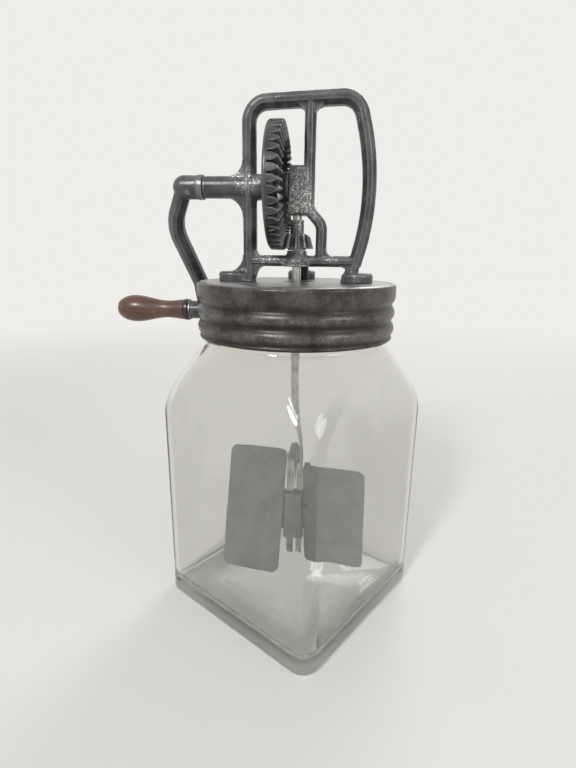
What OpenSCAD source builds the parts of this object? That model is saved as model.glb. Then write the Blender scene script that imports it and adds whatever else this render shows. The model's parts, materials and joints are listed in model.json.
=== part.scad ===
// Hand-cranked butter churn: a square glass jar, a screw cap, and a cast frame on the cap that
// carries a crank, a bevel gear pair and a dasher with two pitched paddles. Millimetres, +Z up.
// The origin is at the middle of the jar's base. The crank shaft runs along X, with the crank at -X.

/* [Jar] */
// Side of the square body
jar_side = 143; // [136:1:170]
// Radius of the upright corners
jar_corner_r = 13; // [8:1:20]
// Thickness of the glass wall
jar_wall = 5; // [4:0.5:7]
// Thickness of the glass floor
jar_floor = 9; // [6:0.5:12]
// Height of the straight walls
jar_wall_h = 150; // [140:1:170]
// Height of the sloping shoulder
shoulder_h = 55; // [45:1:65]
// Height of the round neck
neck_h = 36.5; // [34:0.5:40]
// Outside radius of the neck
neck_r = 63.5; // [62:0.5:66]
// Radius of the heel round the base
heel_r = 4; // [2:0.5:6]
// Radius of the hollow's edge round the floor
hollow_r = 9; // [6:0.5:12]
// Thickness of the neck's glass
neck_wall = 4.5; // [4:0.5:5.5]
// Turn of the jar under the cap
jar_turn = 56; // [0:1:90]

/* [Cap] */
// Thickness of the cap's sheet metal
cap_sheet = 1; // [0.6:0.1:1.4]
// Depth of the cap, from its top to its rolled edge
cap_depth = 37.3; // [35:0.1:40]
// Radial room for the thread between neck and cap
thread_room = 2.9; // [2.5:0.1:4]
// Height of the two rolled beads over their grooves
bead_rise = 1.6; // [1:0.1:2]
// Radius of the rolled beads in section
bead_r = 5.6; // [5:0.1:6]
// Distance from the cap's top to the first bead
bead_drop = 19; // [18:0.1:20]
// Distance between the two beads
bead_pitch = 10.6; // [10:0.1:11.5]
// Radius of the cap's top edge
cap_edge_r = 2.4; // [1.5:0.1:3]
// Radius of the rolled bottom edge in section
curl_r = 1.3; // [1:0.1:1.6]
// Thickness of the gasket
gasket_t = 3; // [2:0.5:4]
// Radial width of the gasket
gasket_w = 4.5; // [4:0.5:6]

/* [Frame] */
// Height of the crank shaft over the cap's top
shaft_h = 61.5; // [60:0.5:64]
// Height of the top bar's middle over the cap's top, at the left post
top_bar_h = 112; // [110:0.5:118]
// Rise of the top bar from the left post to the hand grip
top_bar_rise = 2.6; // [0:0.1:4]
// Width of the frame's bars, seen from the front
bar_w = 9; // [8:0.1:9.5]
// Depth of the frame's bars, front to back
bar_d = 11.5; // [10:0.5:13]
// Width of the ridge along the bars
ridge_w = 3; // [2:0.5:4]
// Width of the middle post and the base bar
post_w = 7.4; // [6.5:0.1:8]
// Distance of the middle post from the dasher's axis
post_x = 7.6; // [6.8:0.1:8]
// Distance of the lower post, round the pinion, from the dasher's axis
cage_x = 16.6; // [16.2:0.1:18]
// Room between the drive gear's back and the left post
post_gap = 9.5; // [8.5:0.5:12]
// Reach of the hand grip from the dasher's axis
grip_reach = 47.1; // [45:0.1:50]
// Radius of the hand grip's bow
grip_bow_r = 155; // [140:1:180]
// Height of the base bar's middle over the cap's top
base_bar_h = 14; // [13:0.1:15]
// Outside radius of the crank shaft's sleeve
sleeve_r = 7.1; // [6.5:0.1:8]
// Length of the sleeve out from the left post
sleeve_len = 27; // [24:0.5:30]
// Height of the bearing block
block_h = 31; // [29:0.5:33]
// Depth of the bearing block, front to back
block_d = 14; // [12:0.5:16]
// Radius of the three feet
foot_r = 10.8; // [9.5:0.1:12]
// Thickness of the feet
foot_t = 6.5; // [5.5:0.1:8]
// Distance of the rear foot behind the dasher's axis
rear_foot_y = 46; // [42:0.5:48]

/* [Gears] */
// Teeth on the drive gear
gear_teeth = 40; // [36:1:44]
// Teeth on the pinion
pinion_teeth = 10; // [9:1:10]
// Pitch radius of the drive gear
gear_pitch_r = 39.5; // [38.5:0.1:40]
// Length of the teeth
tooth_len = 10; // [8:0.5:11]
// Angle of the tooth flanks
flank_angle = 25; // [24:0.5:26]
// Play between the teeth, at the pitch circle
backlash = 0.5; // [0.4:0.05:0.7]
// Extra depth of the gaps under the meshing teeth
gap_extra = 3; // [1:0.5:3.5]
// Depth of the drive gear behind its pitch circle
gear_depth = 8.5; // [8:0.5:10]
// Thickness of the drive gear's web
web_t = 3.2; // [2.5:0.1:4]
// Number of holes in the web
web_holes = 5; // [4:1:6]
// Radius of the drive gear's hub
gear_hub_r = 9.5; // [8.5:0.1:11]
// Radius of the pinion's hub
pinion_hub_r = 4.7; // [4.5:0.1:5.2]
// Height of the pinion's hub over its teeth
pinion_hub_h = 9; // [7:0.5:9.5]

/* [Crank] */
// Radius of the crank shaft
shaft_r = 4; // [3.5:0.1:4.5]
// Length of the crank, from the shaft to the grip's axis
crank_len = 100; // [95:1:104]
// Turn of the crank back from straight down
crank_swing = 28; // [0:1:360]
// Radius of the crank's hub
crank_hub_r = 7.7; // [7:0.1:8.5]
// Width of the crank's arm
arm_w = 11; // [9:0.1:11.5]
// Depth of the crank's arm
arm_d = 12.5; // [11:0.5:14]
// Distance of the arm's lower end from the cap's side
arm_clear = 4.2; // [3.5:0.1:8]
// How far the arm bows outward beyond its lower end
arm_bow = 12.3; // [11:0.1:15]
// Length of the crank's hub
crank_hub_len = 15.5; // [14:0.5:20]
// Length of the boss that carries the grip
arm_boss_len = 18; // [15:0.5:22]
// Radius of the boss that carries the grip
arm_boss_r = 7.2; // [6.5:0.1:8]

/* [Grip] */
// Length of the wooden grip
grip_len = 62; // [55:1:70]
// Largest radius of the wooden grip
grip_bulb_r = 11; // [10:0.1:12.5]
// Radius of the grip's waist
grip_waist_r = 7; // [6.5:0.1:8]
// Radius of the grip's inner end
grip_end_r = 8.5; // [8:0.1:9]
// Length of the ferrule on the grip's inner end
ferrule_len = 4; // [3:0.5:6]
// Radius of the spindle through the grip
spindle_r = 3; // [2.5:0.1:3.5]
// Radius of the spindle's riveted head
rivet_head_r = 5; // [4.5:0.1:5.5]

/* [Dasher] */
// Radius of the dasher's shaft
dasher_r = 3.1; // [2.8:0.1:3.4]
// Turn of the paddles about the shaft
dasher_turn = 170; // [0:1:360]
// Height of the paddles' middle over the base
paddle_z = 64; // [62:1:100]
// Height of a paddle
paddle_h = 100; // [80:1:100]
// Reach of a paddle from the axis
paddle_reach = 54; // [40:0.5:54.5]
// Gap between the axis and a paddle's inner edge
paddle_inset = 6.5; // [6.5:0.5:10]
// Thickness of the paddles' sheet metal
paddle_t = 1.5; // [1:0.1:2]
// Pitch of the paddles from upright
paddle_pitch = 14; // [0:1:16]
// Radius of the paddles' corners
paddle_corner_r = 6; // [3:0.5:10]
// Height of the paddles' hub
paddle_hub_h = 40; // [30:1:50]
// Radius of the paddles' hub
paddle_hub_r = 5.4; // [5:0.1:6]

/* [Fits] */
// Radial clearance of a shaft that turns in its bearing
run_fit = 0.06; // [0.03:0.01:0.1]
// Radial clearance of a pin or shaft that is fixed in its hole
fixed_fit = 0.02; // [0.01:0.01:0.04]
// End play between pieces that turn against each other
end_play = 0.3; // [0.2:0.05:0.5]
// Gap between the gasket and the jar's rim before the cap is drawn tight
seat_gap = 0.05; // [0.03:0.01:0.1]

/* [Hidden] */
$fn = 96;
hair = 0.01;
through = 1;
ring_steps = 6;
lap = 0.4;
bend_swell = 0.1;

// Heights
jar_top = jar_wall_h + shoulder_h + neck_h;
neck_z = jar_wall_h + shoulder_h;
cap_top = jar_top + gasket_t + cap_sheet;
shaft_z = cap_top + shaft_h;
base_z = cap_top + base_bar_h;
top_z = cap_top + top_bar_h;

// Jar and cap
soft_share = 0.45;
neck_ledge = 1;
neck_bore_r = neck_r - neck_wall;
groove_r = neck_r + thread_room + cap_sheet;
cap_r = groove_r + bead_rise;
shaft_hole_r = dasher_r + 0.6;

// Bevel gears: both cones meet at the crossing of the two axes
tooth_module = 2 * gear_pitch_r / gear_teeth;
pinion_pitch_r = tooth_module * pinion_teeth / 2;
cone_len = norm([gear_pitch_r, pinion_pitch_r]);
pinion_cone = atan(pinion_pitch_r / gear_pitch_r);
gear_add = 0.75 * tooth_module;
pinion_add = 0.9 * tooth_module;
pinion_ded = 1.05 * tooth_module;
tooth_half = PI * tooth_module / 4 - backlash / 4;
gap_half = PI * tooth_module / 2 - tooth_half;
gap_mesh = pinion_add + 0.25 * tooth_module;
inner_end = (cone_len - tooth_len) / cone_len;
rim_r = gear_pitch_r + 0.7;
gear_back = pinion_pitch_r + gear_depth;
gear_hub_back = gear_back + 2.6;
pinion_bottom = gear_pitch_r - 0.2;
pinion_top = gear_pitch_r * inner_end;
thrust_washer_t = 1;

// Frame
left_post_x = -(gear_back + post_gap + bar_w / 2);
sleeve_end = left_post_x - bar_w / 2 - sleeve_len;
inner_boss_x = -gear_hub_back - end_play;
block_left = -5.6;
block_right = post_x;
block_bottom = shaft_z - 18;
gear_hub_front = block_left - end_play;
seat_z = shaft_z - pinion_bottom - thrust_washer_t - end_play;
left_foot_x = left_post_x - foot_r - 0.8;
right_foot_x = 42;
screw_spots = [[left_foot_x - 1.5, 0], [right_foot_x + 4.5, 0], [0, rear_foot_y]];
screw_r = 2;
screw_head_r = 4.2;
nut_r = 4.2;
nut_t = 3.2;

// Crank
collar_len = 3.6;
hub_start = sleeve_end - end_play - collar_len;
arm_x = -(cap_r + arm_clear + arm_w / 2);
arm_top_x = hub_start - crank_hub_len;
boss_start = arm_x + arm_w / 2;
boss_end = boss_start - arm_boss_len;
washer_t = 1.2;
grip_start = boss_end - washer_t - end_play;
grip_end = grip_start - grip_len;
rivet_depth = 4;
rivet_head_t = 2.2;
spindle_head = grip_end + rivet_depth;

// Helpers

function unit(v) = v / norm(v);
function cross2(a, b) = a[0] * b[1] - a[1] * b[0];
function xy(p) = [p[0], p[1]];
function radians(a) = a * PI / 180;
function involute(a) = tan(a) - radians(a);
// Smooth step from a to b as t goes from 0 to 1
function ease(a, b, t) = a + (b - a) * (1 - cos(180 * t)) / 2;

// A cylinder along X, from x0 to x1
module rod_x(r, x0, x1) {
    translate([min(x0, x1), 0, 0]) rotate([0, 90, 0]) cylinder(r = r, h = abs(x1 - x0));
}

// A profile drawn as [x, radius], turned about the X axis
module turned_x() {
    rotate([0, 90, 0]) rotate_extrude() mirror([1, 0]) rotate(90) children();
}

// A rectangle about the origin with round corners
module round_square(size, r) {
    square([size[0] - 2 * r, size[1]], center = true);
    square([size[0], size[1] - 2 * r], center = true);
    for (sx = [-1, 1], sy = [-1, 1])
        translate([sx * (size[0] / 2 - r), sy * (size[1] / 2 - r)]) circle(r = r);
}

// Cross-section of a cast bar: flat sides and a ridge along the front and the back
module bar_section(w, d) {
    polygon([
        [-w / 2, -d / 5], [-ridge_w / 2, -d / 2], [ridge_w / 2, -d / 2], [w / 2, -d / 5],
        [w / 2, d / 5], [ridge_w / 2, d / 2], [-ridge_w / 2, d / 2], [-w / 2, d / 5]
    ]);
}

// Turn of a path at vertex i, counted left-handed from above
function path_turn(p, i) =
    let (d1 = unit(xy(p[i]) - xy(p[i - 1])), d2 = unit(xy(p[i + 1]) - xy(p[i])))
    atan2(cross2(d1, d2), d1 * d2);

// Length that the bend at vertex i takes off each straight
function path_cut(p, i) =
    (i == 0 || i == len(p) - 1) ? 0 : p[i][2] * tan(abs(path_turn(p, i)) / 2);

// A bar along a path of [x, z, bend radius] vertices in the XZ plane
module cast_bar(path, w, d) {
    rotate([90, 0, 0]) {
        for (i = [0 : len(path) - 2]) {
            from = xy(path[i]);
            to = xy(path[i + 1]);
            dir = unit(to - from);
            start = from + dir * (path_cut(path, i) - lap);
            length = norm(to - from) - path_cut(path, i) - path_cut(path, i + 1) + 2 * lap;
            translate(start) rotate(atan2(dir[1], dir[0])) rotate([90, 0, 90])
                linear_extrude(length) bar_section(w, d);
        }
        for (i = [1 : len(path) - 2]) {
            dir = unit(xy(path[i]) - xy(path[i - 1]));
            turn = path_turn(path, i);
            side = sign(turn) * [-dir[1], dir[0]];
            start = xy(path[i]) - dir * path_cut(path, i);
            first = atan2(-side[1], -side[0]);
            translate(start + side * path[i][2]) rotate(turn > 0 ? first : first + turn)
                rotate_extrude(angle = abs(turn)) translate([path[i][2], 0])
                    bar_section(w + bend_swell, d + bend_swell);
        }
    }
}

// A concave corner fillet in the XZ plane, at [x, z], opening towards the signs in dir
module cast_fillet(at, dir, r, d) {
    translate([at[0], d / 2, at[1]]) rotate([90, 0, 0]) linear_extrude(d) scale_2d(dir)
        difference() {
            translate([-through, -through]) square(r + through);
            translate([r, r]) circle(r = r);
        }
}

// Mirrors a drawing by the signs in dir
module scale_2d(dir) {
    mirror([dir[0] < 0 ? 1 : 0, 0]) mirror([0, dir[1] < 0 ? 1 : 0]) children();
}

// Jar

// One ring of the jar's outline at height z: a rounded square drawn in from the wall by inset,
// blended to the neck's circle by blend
function jar_ring(z, inset, blend, neck) =
    let (
        half = (jar_side / 2 - inset) * (1 - blend) + neck * blend,
        corner = max(1, jar_corner_r - inset) * (1 - blend) + neck * blend
    )
    [for (q = [0 : 3], k = [0 : ring_steps])
        let (a = 90 * q + 90 * k / (ring_steps + 0.001), m = 90 * q + 45)
        [
            (half - corner) * sqrt(2) * cos(m) + corner * cos(a),
            (half - corner) * sqrt(2) * sin(m) + corner * sin(a),
            z
        ]];

// A closed body through rings that all have the same number of points
module ring_loft(rings) {
    n = len(rings[0]);
    last = len(rings) - 1;
    polyhedron([for (ring = rings) each ring], concat(
        [[for (k = [0 : n - 1]) k]],
        [for (i = [0 : last - 1], k = [0 : n - 1]) let (a = i * n + k, b = i * n + (k + 1) % n)
            each [[a, a + n, b], [b, a + n, b + n]]],
        [[for (k = [n - 1 : -1 : 0]) last * n + k]]
    ));
}

// The jar's body as one form: heel, straight walls, rounded shoulder and slope to the neck
module jar_form(inset, bottom, heel, neck) {
    ring_loft(concat(
        [for (a = [0 : 30 : 90])
            jar_ring(bottom + heel * (1 - cos(a)), inset + heel * (1 - sin(a)), 0, neck)],
        [for (t = [0 : 0.125 : 1]) jar_ring(jar_wall_h + t * shoulder_h, inset, shoulder_blend(t), neck)]
    ));
}

// Share of the way from the square body to the round neck, at share t of the shoulder's height
function shoulder_blend(t) =
    let (bend = 1 / (soft_share * (2 - soft_share)))
    t < soft_share ? bend * t * t : 1 - (1 - t) * 2 * bend * soft_share;

module glass_jar() {
    color([0.75, 0.78, 0.76, 0.35]) rotate(jar_turn) difference() {
        union() {
            jar_form(0, 0, heel_r, neck_r + neck_ledge);
            translate([0, 0, neck_z - through]) cylinder(r = neck_r, h = neck_h + through);
        }
        jar_form(jar_wall, jar_floor, hollow_r, neck_bore_r + neck_ledge);
        translate([0, 0, neck_z - through]) cylinder(r = neck_bore_r, h = neck_h + 2 * through);
    }
}

// Cap

module cap_gasket() {
    color("saddlebrown") translate([0, 0, jar_top + seat_gap]) difference() {
        cylinder(r = neck_r, h = gasket_t - seat_gap);
        translate([0, 0, -through]) cylinder(r = neck_r - gasket_w, h = gasket_t + 2 * through);
    }
}

// Half outline of the cap's skirt and top, drawn in by inset from its outer face
module cap_outline(inset) {
    low = -cap_depth + curl_r;
    translate([0, low]) square([groove_r - inset, cap_depth - curl_r - inset]);
    translate([0, -bead_drop + bead_pitch])
        square([cap_r - inset, bead_drop - bead_pitch - cap_edge_r]);
    translate([0, -cap_edge_r - hair]) square([cap_r - cap_edge_r, cap_edge_r - inset + hair]);
    translate([cap_r - cap_edge_r, -cap_edge_r]) circle(r = cap_edge_r - inset);
    for (i = [-1 : 1])
        translate([cap_r - bead_r, -bead_drop - i * bead_pitch]) circle(r = bead_r - inset);
}

module screw_cap() {
    color("dimgray") translate([0, 0, cap_top]) difference() {
        rotate_extrude() {
            difference() {
                cap_outline(0);
                cap_outline(cap_sheet);
                translate([0, -cap_depth]) square([groove_r - cap_sheet, curl_r + through]);
            }
            translate([groove_r - cap_sheet / 2, -cap_depth + curl_r]) circle(r = curl_r);
        }
        translate([0, 0, -cap_sheet - through]) {
            cylinder(r = shaft_hole_r, h = cap_sheet + 2 * through);
            for (spot = screw_spots)
                translate(spot) cylinder(r = screw_r + fixed_fit, h = cap_sheet + 2 * through);
        }
    }
}

// Guides the dasher's shaft under the cap's top
module shaft_bush() {
    flange_r = 9;
    color("slategray") translate([0, 0, cap_top - cap_sheet]) difference() {
        union() {
            translate([0, 0, -1.6]) cylinder(r = flange_r, h = 1.6);
            translate([0, 0, -9]) cylinder(r = dasher_r + 2.4, h = 9);
        }
        translate([0, 0, -9 - through]) cylinder(r = dasher_r + run_fit, h = 9 + 2 * through);
    }
}

// Frame

// A round foot with a countersunk hole for its screw
module foot_pad(at) {
    translate([at[0], at[1], cap_top]) {
        cylinder(r = foot_r, h = foot_t - 1.5);
        translate([0, 0, foot_t - 1.5]) cylinder(r1 = foot_r, r2 = foot_r - 1.5, h = 1.5);
    }
}

module screw_hole(at) {
    translate([at[0], at[1], cap_top]) {
        translate([0, 0, -through]) cylinder(r = screw_r + fixed_fit, h = foot_t + 8);
        translate([0, 0, foot_t - 2.4]) cylinder(r1 = screw_r, r2 = screw_head_r + 0.3, h = 2.4);
        translate([0, 0, foot_t - hair]) cylinder(r = screw_head_r + 0.3, h = 4);
    }
}

// The posts, top bar and hand grip
module frame_bars() {
    grip_tip_x = grip_reach + bow_lift();
    cast_bar([
        [left_post_x, cap_top + foot_t / 2, 0],
        [left_post_x, top_z, 12],
        [grip_x_at(top_z + top_bar_rise), top_z + top_bar_rise, 13],
        [grip_tip_x, shaft_z - 2, grip_bow_r],
        [grip_x_at(cap_top + foot_t / 2), cap_top + foot_t / 2, 0]
    ], bar_w, bar_d);
    cast_bar([
        [post_x, top_z, 0],
        [post_x, block_bottom + 4, 9],
        [cage_x, block_bottom - 6, 9],
        [cage_x, base_z, 0]
    ], post_w, bar_d - 1);
    cast_bar([[left_post_x, base_z, 0], [grip_x_at(base_z), base_z, 0]], post_w, bar_d);
}

// The hand grip's two straights meet beyond the bow by this much
function bow_lift() = grip_bow_r * (1 / cos(bow_half()) - 1);
// Half of the bow's angle
function bow_half() = 15;
// Middle of the hand grip's straights at height z
function grip_x_at(z) = grip_reach + bow_lift() - abs(z - shaft_z + 2) * tan(bow_half());

// The sleeve for the crank shaft, with its fillets to the left post
module frame_sleeve() {
    post_face = left_post_x - bar_w / 2;
    translate([0, 0, shaft_z]) {
        rod_x(sleeve_r, sleeve_end, left_post_x);
        rod_x(sleeve_r + 1.2, inner_boss_x, left_post_x);
    }
    cast_fillet([post_face, shaft_z + sleeve_r - 0.5], [-1, 1], 10, 8);
    cast_fillet([post_face, shaft_z - sleeve_r + 0.5], [-1, -1], 13, 8);
}

// The block that holds the inner ends of both shafts, on the middle post
module bearing_block() {
    translate([block_left, 0, block_bottom + block_h / 2]) rotate([90, 0, 90])
        linear_extrude(block_right - block_left) round_square([block_d, block_h], 3);
}

// The boss under the pinion and the leg back to the rear foot
module frame_seat() {
    seat_r = 6.8;
    flare_h = 9;
    translate([0, 0, base_z - post_w / 2]) {
        cylinder(r = seat_r, h = seat_z - base_z + post_w / 2);
        cylinder(r1 = seat_r + 4.6, r2 = seat_r, h = flare_h);
    }
    translate([-6, 0, 0]) rotate([90, 0, 90]) linear_extrude(12) polygon([
        [0, base_z + post_w / 2], [0, base_z - post_w / 2],
        [rear_foot_y - foot_r - 3, base_z - post_w / 2 - 1], [rear_foot_y - foot_r, cap_top],
        [rear_foot_y, cap_top], [rear_foot_y - 4, cap_top + foot_t + 1],
        [rear_foot_y - foot_r - 4, base_z + post_w / 2]
    ]);
}

// The toes that run out from the posts to the left and right feet
module frame_feet() {
    post_face = left_post_x - bar_w / 2;
    foot_pad([left_foot_x, 0]);
    foot_pad([right_foot_x, 0]);
    foot_pad([0, rear_foot_y]);
    cast_fillet([post_face, cap_top + foot_t - 0.5], [-1, 1], 12, 10);
    cast_fillet([left_post_x + bar_w / 2, base_z - post_w / 2], [1, -1], 6, 9);
    cast_fillet([cage_x + post_w / 2, base_z + post_w / 2 - 0.5], [1, 1], 5, 8);
    cast_fillet([left_post_x + bar_w / 2 - 0.5, base_z + post_w / 2 - 0.5], [1, 1], 5, 8);
    cast_fillet([grip_x_at(base_z) - bar_w / 2 - 0.6, base_z - post_w / 2 + 0.3], [-1, -1], 6, 9);
    translate([left_post_x - 4.5, 0, cap_top]) cylinder(r1 = foot_r - 1.8, r2 = bar_w / 2, h = 1.5 * foot_t);
    translate([grip_x_at(cap_top + foot_t), 0, cap_top])
        cylinder(r1 = foot_r - 2.6, r2 = bar_w / 2, h = 1.4 * foot_t);
}

// The corners between the middle post and the top bar
module frame_corners() {
    bar_bottom = top_z + top_bar_rise / 2 - bar_w / 2;
    for (side = [-1, 1])
        cast_fillet([post_x + side * (post_w / 2 - 0.3), bar_bottom + 0.5], [side, -1], 4.5, 8);
}

module gear_frame() {
    upper_bore = 9;
    color([0.25, 0.25, 0.26]) difference() {
        union() {
            frame_bars();
            frame_sleeve();
            bearing_block();
            frame_seat();
            frame_feet();
            frame_corners();
        }
        translate([0, 0, shaft_z]) {
            rod_x(shaft_r + run_fit, sleeve_end - through, inner_boss_x + through);
            rod_x(shaft_r + run_fit, block_left - through, block_right - 1.5);
        }
        translate([0, 0, block_bottom - through])
            cylinder(r = dasher_r + run_fit, h = upper_bore + through);
        translate([0, 0, cap_top + 1])
            cylinder(r = dasher_r + run_fit, h = seat_z - cap_top);
        for (spot = screw_spots) screw_hole(spot);
    }
}

module frame_screws() {
    color("gray") for (spot = screw_spots) translate([spot[0], spot[1], cap_top]) {
        translate([0, 0, -cap_sheet - nut_t - 1]) cylinder(r = screw_r, h = foot_t + cap_sheet + nut_t);
        translate([0, 0, foot_t - 2.4 + 0.3]) cylinder(r1 = screw_r, r2 = screw_head_r, h = 2.1);
    }
}

module frame_nuts() {
    color("gray") for (spot = screw_spots) translate([spot[0], spot[1], cap_top - cap_sheet - nut_t])
        difference() {
            cylinder(r = nut_r * sqrt(2), h = nut_t, $fn = 4);
            translate([0, 0, -through]) cylinder(r = screw_r + fixed_fit, h = nut_t + 2 * through);
        }
}

// Crank

module at_shaft() {
    translate([0, 0, shaft_z]) children();
}

// Places a piece that turns with the crank, drawn with the crank straight down
module at_crank() {
    at_shaft() rotate([crank_swing, 0, 0]) children();
}

module crank_shaft() {
    color("silver") at_shaft() difference() {
        rod_x(shaft_r, arm_top_x + 4, block_right - 2);
        crank_pin_shape(fixed_fit);
        gear_pin_shape(fixed_fit);
    }
}

module thrust_collar() {
    color("gray") at_shaft() difference() {
        rod_x(crank_hub_r + 0.3, sleeve_end - end_play, hub_start);
        rod_x(shaft_r + fixed_fit, sleeve_end, hub_start - through);
    }
}

module crank_pin_shape(gap) {
    translate([hub_start - 6, 0, 0]) rotate([90 + crank_swing, 0, 0])
        cylinder(r = 1.6 + gap, h = 2 * crank_hub_r + 0.6 + 4 * gap, center = true);
}

module gear_pin_shape(gap) {
    translate([gear_hub_front - 3.6, 0, 0]) rotate([crank_swing, 0, 0])
        cylinder(r = 1.7 + gap, h = 2 * gear_hub_r + 0.6 + 4 * gap, center = true);
}

module crank_arm() {
    color([0.27, 0.27, 0.28]) difference() {
        at_crank() {
            rod_x(crank_hub_r, hub_start, arm_top_x + arm_w / 2);
            translate([arm_top_x + arm_w / 2, 0, 0]) sphere(r = crank_hub_r);
            cast_bar([
                [arm_top_x + arm_w / 2, 0, 0],
                [arm_x - arm_bow, -0.27 * crank_len, 32],
                [arm_x, -0.74 * crank_len, 16],
                [arm_x, -crank_len, 0]
            ], arm_w, arm_d);
            translate([0, 0, -crank_len]) rod_x(arm_boss_r, boss_start, boss_end);
        }
        at_shaft() {
            rod_x(shaft_r + fixed_fit, hub_start + through, arm_top_x + 3.5);
            crank_pin_shape(fixed_fit);
        }
        at_crank() translate([0, 0, -crank_len])
            rod_x(spindle_r + fixed_fit, boss_start + through, boss_end - through);
    }
}

module crank_pin() {
    color("silver") at_shaft() crank_pin_shape(0);
}

// Outline of the gear blank as [x, radius], before the teeth are cut
module gear_blank() {
    tip = [-(pinion_pitch_r - gear_add * cos(pinion_cone)), gear_pitch_r + gear_add * sin(pinion_cone)];
    tip_x = tip[0] * rim_r / tip[1];
    rim_in = tip[1] * inner_end;
    web_front = -gear_back + web_t + 1;
    polygon([
        [-gear_back, rim_in + 1], [-gear_back, rim_r - 1], [-gear_back + 1, rim_r], [tip_x, rim_r],
        [tip[0] * inner_end, rim_in], [web_front, rim_in - 1.5], [web_front, gear_hub_r],
        [gear_hub_front, gear_hub_r], [gear_hub_front, 0], [-gear_hub_back, 0],
        [-gear_hub_back, gear_hub_r], [-gear_back + 1, gear_hub_r], [-gear_back + 1, rim_in + 1]
    ]);
}

// A point of a tooth gap: rise over the pitch cone, half width there, and share of the cone's length
function gap_point(rise, half, share) =
    let (
        ring = gear_pitch_r + rise * sin(pinion_cone),
        a = half / gear_pitch_r * 180 / PI
    )
    share * [-(pinion_pitch_r - rise * cos(pinion_cone)), ring * sin(a), -ring * cos(a)];

// The wedge between two teeth, whose sides all run to the crossing of the axes
module gear_gap() {
    foot = gap_half - gap_mesh * tan(flank_angle);
    mouth = gap_half + (gear_add + 1) * tan(flank_angle);
    outline = [
        [-gap_mesh - gap_extra, 0.8 * foot], [-gap_mesh, foot], [gear_add + 1, mouth],
        [gear_add + 1, -mouth], [-gap_mesh, -foot], [-gap_mesh - gap_extra, -0.8 * foot]
    ];
    n = len(outline);
    points = [for (share = [inner_end - 0.06, 1.06], p = outline) gap_point(p[0], p[1], share)];
    polyhedron(points, concat(
        [[for (k = [0 : n - 1]) k], [for (k = [n - 1 : -1 : 0]) n + k]],
        [for (k = [0 : n - 1]) let (next = (k + 1) % n) [k, n + k, n + next, next]]
    ));
}

module drive_gear() {
    tooth_step = 360 / gear_teeth;
    hole_ring_r = 20;
    hole_r = 6.4;
    color([0.22, 0.22, 0.23]) at_shaft() difference() {
        turned_x() gear_blank();
        for (i = [0 : gear_teeth - 1]) rotate([(i + 0.5) * tooth_step, 0, 0]) gear_gap();
        for (i = [0 : web_holes - 1]) rotate([i * 360 / web_holes, 0, 0])
            translate([0, 0, hole_ring_r])
                rod_x(hole_r, -gear_back - through, -gear_back + web_t + 1 + through);
        rod_x(shaft_r + fixed_fit, -gear_hub_back - through, gear_hub_front + through);
        gear_pin_shape(fixed_fit);
    }
}

module gear_pin() {
    color("silver") at_shaft() gear_pin_shape(0);
}

// Grip

module at_grip() {
    at_crank() translate([0, 0, -crank_len]) children();
}

module grip_spindle() {
    color("silver") at_grip() {
        rod_x(spindle_r, boss_start, spindle_head + rivet_head_t);
        turned_x() polygon([
            [spindle_head + rivet_head_t, 0], [spindle_head + rivet_head_t, rivet_head_r],
            [spindle_head + 1, rivet_head_r], [spindle_head, rivet_head_r - 1.4], [spindle_head, 0]
        ]);
    }
}

module grip_washer() {
    color("gray") at_grip() difference() {
        rod_x(arm_boss_r + 0.6, boss_end, boss_end - washer_t);
        rod_x(spindle_r + fixed_fit, boss_end + through, boss_end - washer_t - through);
    }
}

// Radius of the turned grip at a share t of its length from the inner end
function grip_r(t) =
    t < 0.3 ? ease(grip_end_r, grip_waist_r, t / 0.3) :
    t < 0.75 ? ease(grip_waist_r, grip_bulb_r, (t - 0.3) / 0.45) :
    grip_bulb_r * sqrt(max(0, 1 - pow((t - 0.75) / 0.262, 2)));

module wood_grip() {
    steps = 24;
    ferrule_share = ferrule_len / grip_len;
    color([0.36, 0.15, 0.09]) at_grip() difference() {
        turned_x() polygon(concat(
            [[grip_start, 0], [grip_start, grip_end_r - 1], [grip_start - ferrule_len, grip_end_r - 1]],
            [for (i = [0 : steps]) let (t = ferrule_share + (1 - ferrule_share) * i / steps)
                [grip_start - t * grip_len, grip_r(t)]],
            [[grip_end, 0]]
        ));
        rod_x(spindle_r + run_fit, grip_start + through, grip_end);
        rod_x(rivet_head_r + 0.4, spindle_head + rivet_head_t + end_play, grip_end - through);
    }
}

module grip_ferrule() {
    color([0.1, 0.1, 0.1]) at_grip() difference() {
        rod_x(grip_end_r + 0.2, grip_start, grip_start - ferrule_len);
        rod_x(grip_end_r - 1 + fixed_fit, grip_start + through, grip_start - ferrule_len - through);
    }
}

// Dasher

shaft_bottom = paddle_z - paddle_hub_h / 2 - 14;
shaft_top = block_bottom + 8.5;
pinion_pin_z = shaft_z - pinion_top + pinion_hub_h / 2;

module pin_across(r, z, length) {
    translate([0, 0, z]) rotate([90, 0, 0]) cylinder(r = r, h = length, center = true);
}

module dasher_shaft() {
    color("silver") difference() {
        translate([0, 0, shaft_bottom]) cylinder(r = dasher_r, h = shaft_top - shaft_bottom);
        pin_across(1.2 + fixed_fit, pinion_pin_z, 4 * dasher_r);
        rotate(dasher_turn) pin_across(1.4 + fixed_fit, paddle_z, 4 * dasher_r);
    }
}

module thrust_washer() {
    color("silver") translate([0, 0, shaft_z - pinion_bottom - thrust_washer_t]) difference() {
        cylinder(r = 6.2, h = thrust_washer_t);
        translate([0, 0, -through]) cylinder(r = dasher_r + fixed_fit, h = thrust_washer_t + 2 * through);
    }
}

// Half angle of a pinion tooth at radius r of its unrolled back cone
function tooth_angle(r, pitch_r) =
    let (base_r = pitch_r * cos(flank_angle))
    (tooth_half / pitch_r + involute(flank_angle) - involute(acos(min(1, base_r / max(r, base_r)))))
        * 180 / PI;

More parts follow.
